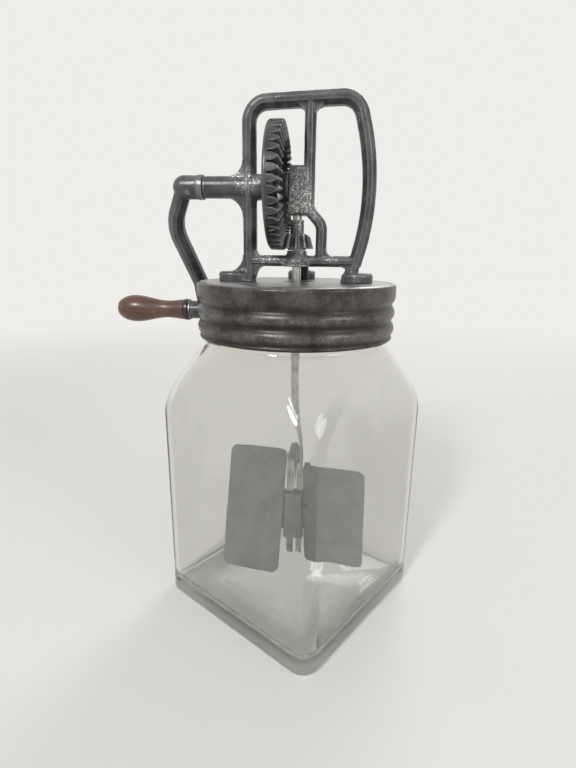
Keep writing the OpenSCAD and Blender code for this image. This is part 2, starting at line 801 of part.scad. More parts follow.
// A flank point, carried from the back cone to the flat plane through the pitch circle
function pinion_point(r, side, middle) =
    let (
        back_r = pinion_pitch_r / cos(pinion_cone),
        rise = r - back_r,
        plane_r = (pinion_pitch_r + rise * cos(pinion_cone))
            * gear_pitch_r / (gear_pitch_r - rise * sin(pinion_cone)),
        a = middle + side * tooth_angle(r, back_r) / cos(pinion_cone)
    )
    plane_r * [cos(a), sin(a)];

// The pinion's outline in the plane through its pitch circle, with a gap towards -X
module pinion_outline() {
    steps = 6;
    back_r = pinion_pitch_r / cos(pinion_cone);
    low = back_r - pinion_ded;
    high = back_r + pinion_add;
    polygon([
        for (i = [0 : pinion_teeth - 1]) let (middle = 180 + (i + 0.5) * 360 / pinion_teeth) each concat(
            [for (k = [0 : steps]) pinion_point(low + (high - low) * k / steps, -1, middle)],
            [for (k = [0 : steps]) pinion_point(high - (high - low) * k / steps, 1, middle)]
        )
    ]);
}

module pinion() {
    tooth_h = pinion_bottom - pinion_top;
    bottom_z = shaft_z - pinion_bottom;
    color([0.24, 0.24, 0.25]) difference() {
        union() {
            intersection() {
                translate([0, 0, bottom_z]) linear_extrude(tooth_h, scale = pinion_top / pinion_bottom)
                    scale(pinion_bottom / gear_pitch_r) pinion_outline();
                translate([0, 0, bottom_z])
                    cylinder(r1 = 1.9 * pinion_pitch_r, r2 = 0.72 * pinion_pitch_r, h = tooth_h);
            }
            translate([0, 0, bottom_z]) cylinder(r = pinion_hub_r, h = tooth_h + pinion_hub_h);
        }
        translate([0, 0, bottom_z - through])
            cylinder(r = dasher_r + fixed_fit, h = tooth_h + pinion_hub_h + 2 * through);
        pin_across(1.2 + fixed_fit, pinion_pin_z, 4 * pinion_hub_r);
    }
}

module pinion_pin() {
    color("silver") pin_across(1.2, pinion_pin_z, 2 * pinion_hub_r + 0.6);
}

// Places a piece of one paddle, drawn with its radius along X and its face across Y
module at_paddle(side) {
    translate([0, 0, paddle_z]) rotate(dasher_turn + (side > 0 ? 0 : 180))
        rotate([paddle_pitch, 0, 0]) children();
}

ear_t = 2;
ear_reach = 24;
ear_h = 26;
rivet_spots = [[17, -7], [17, 7]];

// A flat plate in the paddle's plane, from x0 to x1, of height h, from y0 towards -Y
module paddle_plate(x0, x1, h, y0, t, r) {
    translate([(x0 + x1) / 2, y0, 0]) rotate([90, 0, 0]) linear_extrude(t) round_square([x1 - x0, h], r);
}

module rivet_holes() {
    for (spot = rivet_spots) translate([spot[0], 0, spot[1]]) rotate([90, 0, 0])
        cylinder(r = 1.6 + fixed_fit, h = 20, center = true);
}

module paddle_hub() {
    color("gray") difference() {
        union() {
            translate([0, 0, paddle_z - paddle_hub_h / 2]) cylinder(r = paddle_hub_r, h = paddle_hub_h);
            for (side = [-1, 1]) at_paddle(side) paddle_plate(0, ear_reach, ear_h, 0, ear_t, 3);
        }
        translate([0, 0, paddle_z - paddle_hub_h / 2 - through])
            cylinder(r = dasher_r + fixed_fit, h = paddle_hub_h + 2 * through);
        rotate(dasher_turn) pin_across(1.4 + fixed_fit, paddle_z, 4 * paddle_hub_r);
        for (side = [-1, 1]) at_paddle(side) rivet_holes();
    }
}

module hub_pin() {
    color("silver") rotate(dasher_turn) pin_across(1.4, paddle_z, 2 * paddle_hub_r + 0.6);
}

module paddle(side) {
    color([0.55, 0.57, 0.58]) at_paddle(side) difference() {
        paddle_plate(paddle_inset, paddle_reach, paddle_h, paddle_t, paddle_t, paddle_corner_r);
        rivet_holes();
    }
}

module left_paddle() {
    paddle(1);
}

module right_paddle() {
    paddle(-1);
}

module paddle_rivets() {
    color("silver") for (side = [-1, 1]) at_paddle(side) for (spot = rivet_spots)
        translate([spot[0], 0, spot[1]]) rotate([90, 0, 0]) {
            translate([0, 0, -paddle_t - 0.8]) cylinder(r = 2.5, h = 0.8);
            translate([0, 0, -paddle_t]) cylinder(r = 1.6, h = ear_t + paddle_t);
            translate([0, 0, ear_t]) cylinder(r = 2.5, h = 0.8);
        }
}

glass_jar();
cap_gasket();
screw_cap();
gear_frame();
frame_screws();
frame_nuts();
shaft_bush();
crank_shaft();
thrust_collar();
crank_arm();
crank_pin();
drive_gear();
gear_pin();
grip_spindle();
grip_washer();
wood_grip();
grip_ferrule();
dasher_shaft();
thrust_washer();
pinion();
pinion_pin();
paddle_hub();
hub_pin();
left_paddle();
right_paddle();
paddle_rivets();
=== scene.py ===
"""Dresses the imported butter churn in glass, beaded tin, cast iron, turned wood and sheet metal."""

from __future__ import annotations

import json
import logging
import math
from contextlib import contextmanager
from dataclasses import dataclass
from enum import Enum
from typing import Callable, Iterable, Iterator, Mapping, Sequence, Union

import bmesh
import bpy
from mathutils import Matrix, Vector, noise

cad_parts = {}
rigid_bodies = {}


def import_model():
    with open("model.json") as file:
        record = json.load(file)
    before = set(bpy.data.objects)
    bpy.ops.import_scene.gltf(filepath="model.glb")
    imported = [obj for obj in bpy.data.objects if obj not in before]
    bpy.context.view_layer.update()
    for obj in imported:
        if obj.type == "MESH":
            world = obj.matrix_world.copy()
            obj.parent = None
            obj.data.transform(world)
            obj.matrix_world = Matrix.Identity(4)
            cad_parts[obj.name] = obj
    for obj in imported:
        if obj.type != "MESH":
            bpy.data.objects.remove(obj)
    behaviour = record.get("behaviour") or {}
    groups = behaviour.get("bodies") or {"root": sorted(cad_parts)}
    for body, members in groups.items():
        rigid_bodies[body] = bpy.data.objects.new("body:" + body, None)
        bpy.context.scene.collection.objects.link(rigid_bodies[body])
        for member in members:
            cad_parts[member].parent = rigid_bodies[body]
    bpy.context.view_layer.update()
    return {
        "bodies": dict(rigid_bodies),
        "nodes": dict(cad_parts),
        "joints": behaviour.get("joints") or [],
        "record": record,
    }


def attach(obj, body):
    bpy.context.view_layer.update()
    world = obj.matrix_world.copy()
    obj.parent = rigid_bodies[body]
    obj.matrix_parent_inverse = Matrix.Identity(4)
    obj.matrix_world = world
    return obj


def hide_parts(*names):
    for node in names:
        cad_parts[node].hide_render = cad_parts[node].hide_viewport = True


LOG = logging.getLogger("churn")
MM = 0.001
SENSOR_MM = 36.0

Colour = tuple[float, float, float]
Place = tuple[float, float, float]
Point = tuple[float, float]
Key = Union[str, int]
Value = Union[float, int, Sequence[float], "Signal"]
Piece = bpy.types.Object

UNSTRETCHED: Place = (1.0, 1.0, 1.0)
ROUND_PLAN: Place = (1.0, 1.0, 0.0)


class Body(Enum):
    """The rigid bodies that a new piece rides on."""

    JAR = "jar"
    CAP = "cap"
    CRANK = "crank"
    GRIP = "grip"
    DASHER = "dasher"


class Slot(Enum):
    """The record's material slots that a new piece takes."""

    GLASS = "clear_glass"
    TIN = "aged_tin"
    IRON = "cast_iron"
    DARK_STEEL = "dark_steel"
    BLACK_IRON = "black_iron"
    WOOD = "grip_wood"


class Signal:
    """A shader socket that takes part in Python arithmetic."""

    def __init__(self, graph: Graph, socket: bpy.types.NodeSocket) -> None:
        """Keeps the socket and its graph."""
        self.graph = graph
        self.socket = socket

    def _math(self, operation: str, first: Value, second: Value) -> Signal:
        """Adds one Math node and returns its output."""
        return self.graph.add("ShaderNodeMath", {0: first, 1: second}, operation=operation)[0]

    def __add__(self, other: Value) -> Signal:
        """Adds a value."""
        return self._math("ADD", self, other)

    def __radd__(self, other: Value) -> Signal:
        """Adds to a value."""
        return self._math("ADD", other, self)

    def __sub__(self, other: Value) -> Signal:
        """Takes a value away."""
        return self._math("SUBTRACT", self, other)

    def __rsub__(self, other: Value) -> Signal:
        """Is taken away from a value."""
        return self._math("SUBTRACT", other, self)

    def __mul__(self, other: Value) -> Signal:
        """Multiplies by a value."""
        return self._math("MULTIPLY", self, other)

    def most(self, other: Value) -> Signal:
        """Returns the larger of the two."""
        return self._math("MAXIMUM", self, other)

    def fade(self, low: float, high: float) -> Signal:
        """Rises smoothly from 0 at low to 1 at high."""
        return self.graph.add(
            "ShaderNodeMapRange",
            {"Value": self, "From Min": low, "From Max": high},
            interpolation_type="SMOOTHSTEP",
        )["Result"]

    def past(self, level: float, band: Point) -> Signal:
        """Rises from 0 to 1 across a band beside a level, both in millimetres."""
        return self.fade((level + band[0]) * MM, (level + band[1]) * MM)


class Node:
    """One shader node, whose outputs are read as signals."""

    def __init__(self, graph: Graph, node: bpy.types.Node) -> None:
        """Keeps the node and its graph."""
        self.graph = graph
        self.node = node

    def __getitem__(self, key: Key) -> Signal:
        """Returns an output by name or number."""
        return Signal(self.graph, self.node.outputs[key])


@dataclass(frozen=True)
class Cloud:
    """Smooth noise: features to the metre, layers of detail, their roughness, and a stretch."""

    scale: float
    detail: float = 3.0
    rough: float = 0.55
    stretch: Place = UNSTRETCHED


@dataclass(frozen=True)
class Rub:
    """A place rubbed bare: middle and reach in millimetres, strength, and its core's share."""

    spot: Place
    reach: float
    strength: float
    core: float = 0.35


class Graph:
    """The node tree of one material or of the world."""

    def __init__(self, tree: bpy.types.NodeTree) -> None:
        """Empties the tree, so that every node in it is made here."""
        self.tree = tree
        tree.nodes.clear()

    def add(
        self,
        kind: str,
        sockets: Mapping[Key, Value] | None = None,
        **settings: object,
    ) -> Node:
        """Makes one node.

        Args:
            kind: Blender's name of the node type.
            sockets: Values or signals for the inputs, by identifier, name or number.
            **settings: Properties of the node, which are set first.
        """
        node = self.tree.nodes.new(kind)
        for key, setting in settings.items():
            setattr(node, key, setting)
        for key, value in (sockets or {}).items():
            self._feed(self._input(node, key), value)
        return Node(self, node)

    @staticmethod
    def _input(node: bpy.types.Node, key: Key) -> bpy.types.NodeSocket:
        """Finds an input by number, identifier or name."""
        known = {socket.identifier: socket for socket in node.inputs}
        return known[key] if key in known else node.inputs[key]

    def _feed(self, socket: bpy.types.NodeSocket, value: Value) -> None:
        """Links a signal to an input, or sets its value."""
        if isinstance(value, Signal):
            self.tree.links.new(value.socket, socket)
        elif socket.type == "RGBA":
            socket.default_value = (*value, 1.0)
        else:
            socket.default_value = value

    def vector(self, operation: str, first: Value, second: Value = (0.0, 0.0, 0.0)) -> Node:
        """Adds one Vector Math node."""
        return self.add("ShaderNodeVectorMath", {0: first, 1: second}, operation=operation)

    def place(self, stretch: Place = UNSTRETCHED) -> Signal:
        """Returns the point on the object at rest, stretched along each axis."""
        coords = self.add("ShaderNodeTexCoord")["Object"]
        return coords if stretch == UNSTRETCHED else self.vector("MULTIPLY", coords, stretch)[0]

    def axis(self, at: Signal, index: int) -> Signal:
        """Returns one coordinate of a point."""
        return self.add("ShaderNodeSeparateXYZ", {0: at})[index]

    def cloud(self, texture: Cloud) -> Signal:
        """Returns smooth noise from 0 to 1."""
        return self.add("ShaderNodeTexNoise", {
            "Vector": self.place(texture.stretch),
            "Scale": texture.scale,
            "Detail": texture.detail,
            "Roughness": texture.rough,
        })["Fac"]

    def pits(self, scale: float, size: float) -> Signal:
        """Returns small round spots, 1 at their middles."""
        cell = self.add(
            "ShaderNodeTexVoronoi", {"Vector": self.place(), "Scale": scale}, feature="F1"
        )["Distance"]
        return 1.0 - cell.fade(0.0, size)

    def edge(self, low: float, high: float) -> Signal:
        """Returns how far the surface stands out as a convex edge."""
        return self.add("ShaderNodeNewGeometry")["Pointiness"].fade(low, high)

    def near(self, rub: Rub) -> Signal:
        """Returns a rub's strength round its middle, and 0 beyond its reach."""
        middle = tuple(value * MM for value in rub.spot)
        away = self.vector("DISTANCE", self.place(), middle)["Value"]
        return (1.0 - away.past(0.0, (rub.core * rub.reach, rub.reach))) * rub.strength

    def layers(self, base: Value, *coats: tuple[Value, Colour]) -> Value:
        """Lays colours over a base one after the other, each by its own share."""
        for share, colour in coats:
            base = self.add(
                "ShaderNodeMix",
                {"Factor_Float": share, "A_Color": base, "B_Color": colour},
                data_type="RGBA",
            )[2]
        return base

    def bump(self, height: Signal, strength: float, depth: float) -> Signal:
        """Returns a normal roughened by a height, with a depth in millimetres."""
        return self.add(
            "ShaderNodeBump", {"Height": height, "Strength": strength, "Distance": depth * MM}
        )["Normal"]

    def principled(self, sockets: Mapping[str, Value]) -> Signal:
        """Adds one principled shader."""
        return self.add("ShaderNodeBsdfPrincipled", sockets)["BSDF"]

    def blend(self, share: Value, first: Signal, second: Signal) -> Signal:
        """Mixes two shaders."""
        return self.add("ShaderNodeMixShader", {0: share, 1: first, 2: second})["Shader"]

    def end(self, sockets: Mapping[str, Signal]) -> None:
        """Ends a material's tree in its output."""
        self.add("ShaderNodeOutputMaterial", sockets)

    def surface(self, sockets: Mapping[str, Value]) -> None:
        """Ends a material's tree in one principled surface."""
        self.end({"Surface": self.principled(sockets)})


@dataclass(frozen=True)
class Finish:
    """A finish that makes one material and shares it.

    In paint, the two numbers of a fade are the levels where it starts and ends, and a number
    that scales a signal is that effect's share.
    """

    name: str

    def paint(self, graph: Graph) -> None:
        """Fills the material's tree."""
        raise NotImplementedError

    def material(self) -> bpy.types.Material:
        """Returns the finish's material, made on its first use."""
        found = bpy.data.materials.get(self.name)
        if found:
            return found
        made = bpy.data.materials.new(self.name)
        made.use_nodes = True
        self.paint(Graph(made.node_tree))
        return made


@dataclass(frozen=True)
class CastIron(Finish):
    """Satin grey-black iron with a casting's grain, worn bright along its edges, with a painted
    highlight along its ridges and painted shade in its hollows.
    """

    dark: Colour = (0.036, 0.036, 0.038)
    light: Colour = (0.1, 0.1, 0.104)
    worn: Colour = (0.57, 0.56, 0.54)
    # colour of real polish on the bare patches, and of the painted highlight along the ridges
    polish_and_highlight: Colour = (0.27, 0.27, 0.275)
    rust: Colour = (0.13, 0.1, 0.075)
    # colour of the painted shade in the hollows
    painted_hollow_shade: Colour = (0.025, 0.025, 0.026)
    gloss: float = 0.24
    rubs: tuple[Rub, ...] = ()
    blotches: Cloud = Cloud(85.0, 5.0, 0.62)
    grain: Cloud = Cloud(750.0)
    chips: Cloud = Cloud(240.0, 4.0, 0.6)
    thin: Cloud = Cloud(62.0)
    flecks: Cloud = Cloud(950.0, 2.0, 0.6)
    clusters: Cloud = Cloud(330.0)
    rusting: Cloud = Cloud(38.0)

    def paint(self, graph: Graph) -> None:
        """Lays a little rust, painted shade in the hollows, polish, a painted highlight along the
        ridges and bare flecks over the blotched iron.
        """
        blotch = graph.cloud(self.blotches)
        # mask of the convex ridges, which carry a painted highlight
        ridge = graph.edge(0.503, 0.535)
        # mask of the concave hollows, which carry painted shade
        hollow = 1.0 - graph.edge(0.42, 0.495)
        chipped = graph.edge(0.515, 0.6) * graph.cloud(self.chips).fade(0.42, 0.64)
        bare = graph.cloud(self.thin).fade(0.58, 0.72) * 0.4
        for rub in self.rubs:
            bare = bare + graph.near(rub)
        bare = bare.fade(0.0, 1.0)
        clustered = graph.cloud(self.clusters).fade(0.25, 0.55)
        flecked = graph.cloud(self.flecks).fade(0.46, 0.6) * clustered
        rubbed = (chipped + bare * flecked).fade(0.0, 1.0)
        graph.surface({
            "Base Color": graph.layers(
                self.dark,
                (blotch.fade(0.3, 0.7), self.light),
                (graph.cloud(self.rusting).fade(0.58, 0.76) * 0.3, self.rust),
                # painted shade: the concave hollows darkened where shade falls
                (hollow * 0.6, self.painted_hollow_shade),
                # real polish on the rubbed bare patches; the same colour is the painted highlight on
                # the next line
                (bare * 0.3, self.polish_and_highlight),
                # painted highlight: the convex ridges lightened where the lamps' highlights fall
                (ridge * 0.45, self.polish_and_highlight),
                (rubbed, self.worn),
            ),
            "Metallic": 0.2 + rubbed * 0.6,
            "Roughness": self.gloss + blotch * 0.18 - ridge * 0.08,
            "Normal": graph.bump(graph.cloud(self.grain) * 0.6 + blotch, strength=0.35, depth=0.4),
        })


@dataclass(frozen=True)
class AgedTin(Finish):
    """Dark, patinated sheet metal, rubbed bright on the crests of its beads, with a painted
    highlight on the crests, painted shade in the grooves and a painted sheen on the flat top.

    The top, the crests' radius and the bands measured from them are in millimetres.
    """

    top_z: float
    crest_r: float
    dark: Colour = (0.036, 0.031, 0.029)
    mid: Colour = (0.095, 0.085, 0.079)
    # colour of the crests' real wear and of their painted highlight
    bright: Colour = (0.36, 0.335, 0.31)
    # colour of the painted shade in the grooves
    groove_shade: Colour = (0.016, 0.013, 0.012)
    flat: Colour = (0.2, 0.195, 0.19)
    # colour of the painted sheen on the flat top
    face: Colour = (0.25, 0.243, 0.236)
    top_band: Point = (-1.2, -0.3)
    plain_band: Point = (-14.0, -12.0)
    crest_band: Point = (-0.7, 0.1)
    groove_band: Point = (-1.9, -0.7)
    streaks: Cloud = Cloud(170.0, 5.0, 0.68, (1.0, 1.0, 2.2))
    blotches: Cloud = Cloud(70.0, 6.0, 0.66)
    grains: Cloud = Cloud(1200.0, 2.0, 0.6)
    spot_scale: float = 420.0
    spot_size: float = 0.3

    def paint(self, graph: Graph) -> None:
        """Paints shade into the grooves, wear and a highlight onto the crests, and lightens the flat
        top with a painted sheen and speckles it.
        """
        radius = graph.vector("LENGTH", graph.place(ROUND_PLAN))["Value"]
        height = graph.axis(graph.place(), 2)
        top = height.past(self.top_z, self.top_band)
        side = 1.0 - top
        beads = 1.0 - height.past(self.top_z, self.plain_band)
        blotch = graph.cloud(self.blotches)
        grit = graph.cloud(self.grains)
        spots = graph.pits(self.spot_scale, self.spot_size) * blotch.fade(0.42, 0.6)
        # mask of the bead crests, which carry real wear and a painted highlight
        crest = radius.past(self.crest_r, self.crest_band) * (beads * 0.85 + 0.15) * side
        # mask of the grooves between the beads, which carry painted shade
        groove = (1.0 - radius.past(self.crest_r, self.groove_band)) * side * beads
        # the crests streaked: rubbed wear and painted highlight together
        crest_wear_and_highlight = crest * graph.cloud(self.streaks).fade(0.3, 0.7)
        rubbed = crest_wear_and_highlight * (grit.fade(0.4, 0.64) * 0.7 + 0.3)
        graph.surface({
            "Base Color": graph.layers(
                self.dark,
                (blotch.fade(0.32, 0.68), self.mid),
                (grit.fade(0.5, 0.68) * blotch.fade(0.36, 0.6) * 0.5, self.flat),
                # painted sheen: the flat top lightened to stand in for the reflection it catches at
                # a low angle
                (top * (0.5 + blotch.fade(0.2, 0.6) * 0.5), self.face),
                # painted shade: the grooves darkened where shade falls between the beads
                (groove * 0.65, self.groove_shade),
                # crests lightened partly as rubbed metal and partly as a painted highlight where the
                # lamps' light falls on the beads
                (rubbed * 0.5, self.bright),
                (spots * 0.6, self.dark),
            ),
            "Metallic": 0.7,
            "Roughness": 0.27 + blotch * 0.16 + spots * 0.15 - top * 0.04,
            "Normal": graph.bump(blotch + grit * 0.3 - spots * 0.6, strength=0.2, depth=0.3),
        })


@dataclass(frozen=True)
class PressedGlass(Finish):
    """Clear pressed glass with a faint grey-green body and a thin film of use."""

    tint: Colour = (0.89, 0.89, 0.865)
    stain: Colour = (0.85, 0.835, 0.79)
    scuffed: Colour = (0.9, 0.905, 0.88)
    depth: Colour = (0.45, 0.47, 0.39)
    density: float = 10.0
    shoulder: Point = (170.0, 220.0)
    ring: Point = (0.15, 0.9)
    underside: Point = (1.3, 2.2)
    films: Cloud = Cloud(30.0, 4.0, 0.6)
    waves: Cloud = Cloud(42.0, 1.0)

    def paint(self, graph: Graph) -> None:
        """Sets the clear body, varies film and a warm stain, and scuffs the base."""
        film = graph.cloud(self.films)
        height = graph.axis(graph.place(), 2)
        stained = height.past(0.0, self.shoulder) * film.fade(0.3, 0.7)
        clear = graph.principled({
            "Base Color": graph.layers(self.tint, (stained, self.stain)),
            "Roughness": film.fade(0.58, 0.82) * 0.05,
            "Transmission Weight": 1.0,
            "IOR": 1.5,
            "Normal": graph.bump(graph.cloud(self.waves), strength=0.12, depth=0.6),
        })
        worn = graph.principled({"Base Color": self.scuffed, "Roughness": 0.7})
        ring = 1.0 - height.past(0.0, self.ring)
        low = 1.0 - height.past(0.0, self.underside)
        scuffs = low * (0.04 + film * 0.1 + ring * 0.82)
        body = graph.add(
            "ShaderNodeVolumeAbsorption", {"Color": self.depth, "Density": self.density}
        )["Volume"]
        graph.end({"Surface": graph.blend(scuffs, clear, worn), "Volume": body})


@dataclass(frozen=True)
class TurnedSteel(Finish):
    """Steel with fine turning marks across an axis."""

    tone: Colour
    shade: Colour
    gloss: float
    turning: Cloud = Cloud(900.0, 2.0)
    blotches: Cloud = Cloud(160.0, 4.0)

    def paint(self, graph: Graph) -> None:
        """Mixes two tones by fine marks and blotches."""
        marks = graph.cloud(self.turning)
        blotch = graph.cloud(self.blotches)
        graph.surface({
            "Base Color": graph.layers(self.tone, (blotch.fade(0.35, 0.7), self.shade)),
            "Metallic": 1.0,
            "Roughness": self.gloss + marks * 0.14 + blotch * 0.1,
            "Normal": graph.bump(marks, strength=0.12, depth=0.1),
        })


@dataclass(frozen=True)
class SheetTin(Finish):
    """Dull grey tinned sheet, mottled and scratched."""

    tone: Colour = (0.215, 0.23, 0.235)
    shade: Colour = (0.11, 0.117, 0.12)
    rim: Colour = (0.5, 0.5, 0.5)
    mottling: Cloud = Cloud(65.0, 5.0, 0.62)
    scuffs: Cloud = Cloud(600.0, stretch=(1.0, 1.0, 0.12))

    def paint(self, graph: Graph) -> None:
        """Mottles the grey and scuffs its gloss."""
        mottle = graph.cloud(self.mottling)
        scuff = graph.cloud(self.scuffs)
        graph.surface({
            "Base Color": graph.layers(
                self.tone,
                (mottle.fade(0.34, 0.7), self.shade),
                (graph.edge(0.52, 0.62) * 0.4, self.rim),
            ),
            "Metallic": 0.3,
            "Roughness": 0.46 + mottle * 0.2 + scuff * 0.1,
            "Normal": graph.bump(mottle + scuff * 0.3, strength=0.15, depth=0.4),
        })


@dataclass(frozen=True)
class VarnishedWood(Finish):
    """Red-brown varnished wood with its grain along the grip."""

    dark: Colour = (0.06, 0.021, 0.013)
    mid: Colour = (0.13, 0.05, 0.028)
    worn: Colour = (0.25, 0.12, 0.07)
    fibres: Cloud = Cloud(420.0, 5.0, 0.6, (0.06, 1.0, 1.0))
    vessels: Cloud = Cloud(1500.0, 2.0, stretch=(0.04, 1.0, 1.0))
    handling: Cloud = Cloud(55.0, 4.0)

    def paint(self, graph: Graph) -> None:
        """Draws stretched grain, darker pores and a rubbed varnish."""
        grain = graph.cloud(self.fibres)
        pores = graph.cloud(self.vessels)
        rub = graph.cloud(self.handling)
        graph.surface({
            "Base Color": graph.layers(
                self.dark,
                (grain.fade(0.34, 0.68), self.mid),
                (rub.fade(0.5, 0.72) * 0.55, self.worn),
                (pores.fade(0.6, 0.72) * 0.5, self.dark),
            ),
            "Roughness": 0.3 + rub * 0.14 + pores * 0.08,
            "Coat Weight": 0.4 - rub.fade(0.5, 0.75) * 0.25,
            "Coat Roughness": 0.18,
            "Normal": graph.bump(grain + pores * 0.5, strength=0.12, depth=0.3),
        })


@dataclass(frozen=True)
class OldRubber(Finish):
    """Hardened red-brown rubber."""

    tone: Colour = (0.2, 0.085, 0.055)
    bloom: Colour = (0.3, 0.2, 0.16)
    patches: Cloud = Cloud(220.0, 4.0)

    def paint(self, graph: Graph) -> None:
        """Greys the rubber with a patchy bloom."""
        patch = graph.cloud(self.patches)
        graph.surface({
            "Base Color": graph.layers(self.tone, (patch.fade(0.45, 0.75), self.bloom)),
            "Roughness": 0.62 + patch * 0.2,
            "Normal": graph.bump(patch, strength=0.2, depth=0.3),
        })


@dataclass(frozen=True)
class PaleFloor(Finish):
    """A floor that is matt near the object and takes the backdrop's colour far from it."""

    backdrop: Colour
    pale: Colour = (0.80, 0.79, 0.77)
    far: Point = (450.0, 1700.0)
    jar_half: float = 71.0
    jar_edge: float = 7.1
    jar_turn: float = 56.0

    def paint(self, graph: Graph) -> None:
        """Mixes the matt floor with a glow that grows with distance, and with a painted pool of
        light under the jar.
        """
        at = graph.place()
        far = graph.vector("LENGTH", at)["Value"].past(0.0, self.far)
        under = self._painted_light_under_jar(graph, at)
        matt = graph.principled({"Base Color": self.pale, "Roughness": 0.85})
        glow = graph.add("ShaderNodeEmission", {"Color": self.backdrop, "Strength": 1.0})
        # the extra glow under the jar is a painted pool of light, standing in for the lamps' light
        # that real glass would let through
        share = far * 0.8 + 0.2 + under * 0.4
        graph.end({"Surface": graph.blend(share, matt, glow["Emission"])})

    def _painted_light_under_jar(self, graph: Graph, at: Signal) -> Signal:
        """Returns 1 under the jar, where real glass would let the lamps' light through."""
        square = graph.add(
            "ShaderNodeVectorRotate",
            {"Vector": at, "Angle": -math.radians(self.jar_turn)},
            rotation_type="Z_AXIS",
        )["Vector"]
        flat = graph.vector("ABSOLUTE", square)[0]
        reach = graph.axis(flat, 0).most(graph.axis(flat, 1))
        return 1.0 - reach.past(self.jar_half, (-self.jar_edge, 0.0))


def link(name: str, data: bpy.types.ID) -> Piece:
    """Puts new data into the scene as an object."""
    made = bpy.data.objects.new(name, data)
    bpy.context.scene.collection.objects.link(made)
    return made


@contextmanager
def edited(
    target: bpy.types.Mesh, source: bpy.types.Mesh | None = None
) -> Iterator[bmesh.types.BMesh]:
    """Opens a mesh or its source, and writes the edits to the target."""
    work = bmesh.new()
    try:
        work.from_mesh(source or target)
        yield work
        work.to_mesh(target)
    finally:
        work.free()


def quads(rings: int, count: int, loop: bool = False) -> list[list[int]]:
    """Returns the faces between closed rings; in a loop the last ring joins the first."""
    faces = []
    for i in range(rings if loop else rings - 1):
        low, high = i * count, (i + 1) % rings * count
        for k in range(count):
            n = (k + 1) % count
            faces.append([low + k, low + n, high + n, high + k])
    return faces


def arc(middle: Point, radius: float, degrees: Iterable[int]) -> list[Point]:
    """Returns the points of a circle at the given angles."""
    angles = [math.radians(d) for d in degrees]
    return [(middle[0] + radius * math.cos(a), middle[1] + radius * math.sin(a)) for a in angles]


def ease(start: float, end: float, share: float) -> float:
    """Goes smoothly from start to end."""
    return start + (end - start) * (1 - math.cos(math.pi * share)) / 2


class Workshop:
    """Makes meshes and puts them on their bodies."""

    JOIN = 2e-6

    def __init__(self, nodes: Mapping[str, Piece]) -> None:
        """Keeps the CAD nodes by name."""
        self.nodes = nodes

    @staticmethod
    def loft(name: str, rings: Sequence[Sequence[Vector]], loop: bool = False) -> Piece:
        """Skins rings of equal length, with outward normals and smooth shading.

        Args:
            name: Name of the piece.
            rings: Closed rings of points, in order and in metres.
            loop: Whether the last ring joins the first; otherwise both ends are capped.
        """
        count = len(rings[0])
        points = [p for ring in rings for p in ring]
        faces = quads(len(rings), count, loop)
        if not loop:
            for start, ring in ((0, rings[0]), (len(points) - count, rings[-1])):
                points.append(sum(ring, Vector()) / count)
                tip = len(points) - 1
                faces += [[start + k, start + (k + 1) % count, tip] for k in range(count)]
        data = bpy.data.meshes.new(name)
        data.from_pydata([tuple(p) for p in points], [], faces)
        with edited(data) as work:
            bmesh.ops.recalc_face_normals(work, faces=work.faces)
        data.shade_smooth()
        return link(name, data)

    def turned(
        self,
        name: str,
        profile: Sequence[Point],
        frame: Matrix,
        segments: int,
        wobble: Callable[[Vector], float] | None = None,
    ) -> Piece:
        """Turns a closed outline of (radius, height) about the frame's Z axis.

        Args:
            name: Name of the piece.
            profile: Outline, in millimetres, that doesn't touch the axis.
            frame: Place of the axis, in metres.
            segments: Steps round the axis.
            wobble: Extra radius in millimetres at a point.
        """
        rings = []
        for step in range(segments):
            angle = 2 * math.pi * step / segments
            ring = []
            for radius, height in profile:
                spot = Vector((math.cos(angle) * radius, math.sin(angle) * radius, height))
                grow = 1 + (wobble(spot) / radius if wobble else 0.0)
                ring.append(frame @ (Vector((spot.x * grow, spot.y * grow, height)) * MM))
            rings.append(ring)
        return self.loft(name, rings, loop=True)

    def copy(self, node: str, name: str) -> Piece:
        """Copies a CAD node's mesh with its split vertices joined."""
        data = bpy.data.meshes.new(name)
        with edited(data, self.nodes[node].data) as work:
            bmesh.ops.remove_doubles(work, verts=work.verts, dist=self.JOIN)
        return link(name, data)

    @staticmethod
    def settle(piece: Piece) -> None:
        """Applies a piece's modifiers to its mesh."""
        ready = piece.evaluated_get(bpy.context.evaluated_depsgraph_get())
        data = bpy.data.meshes.new_from_object(ready)
        data.name = piece.name
        old = piece.data
        piece.modifiers.clear()
        piece.data = data
        bpy.data.meshes.remove(old)
        data.shade_smooth()

    @staticmethod
    def dress(data: bpy.types.Mesh, finish: Finish) -> None:
        """Gives a mesh one finish."""
        data.materials.clear()
        data.materials.append(finish.material())

    def fit(
        self,
        piece: Piece,
        body: Body,
        finish: Finish,
        replaces: Sequence[str],
    ) -> None:
        """Dresses a new piece, and makes it ride for its CAD nodes."""
        self.dress(piece.data, finish)
        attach(piece, body.value)
        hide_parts(*replaces)
        LOG.info("%s rides on %s", piece.name, body.value)

    def keep(self, node: str, finish: Finish) -> None:
        """Gives a CAD node that stays a better material."""
        self.dress(self.nodes[node].data, finish)
        LOG.info("%s keeps its solid", node)


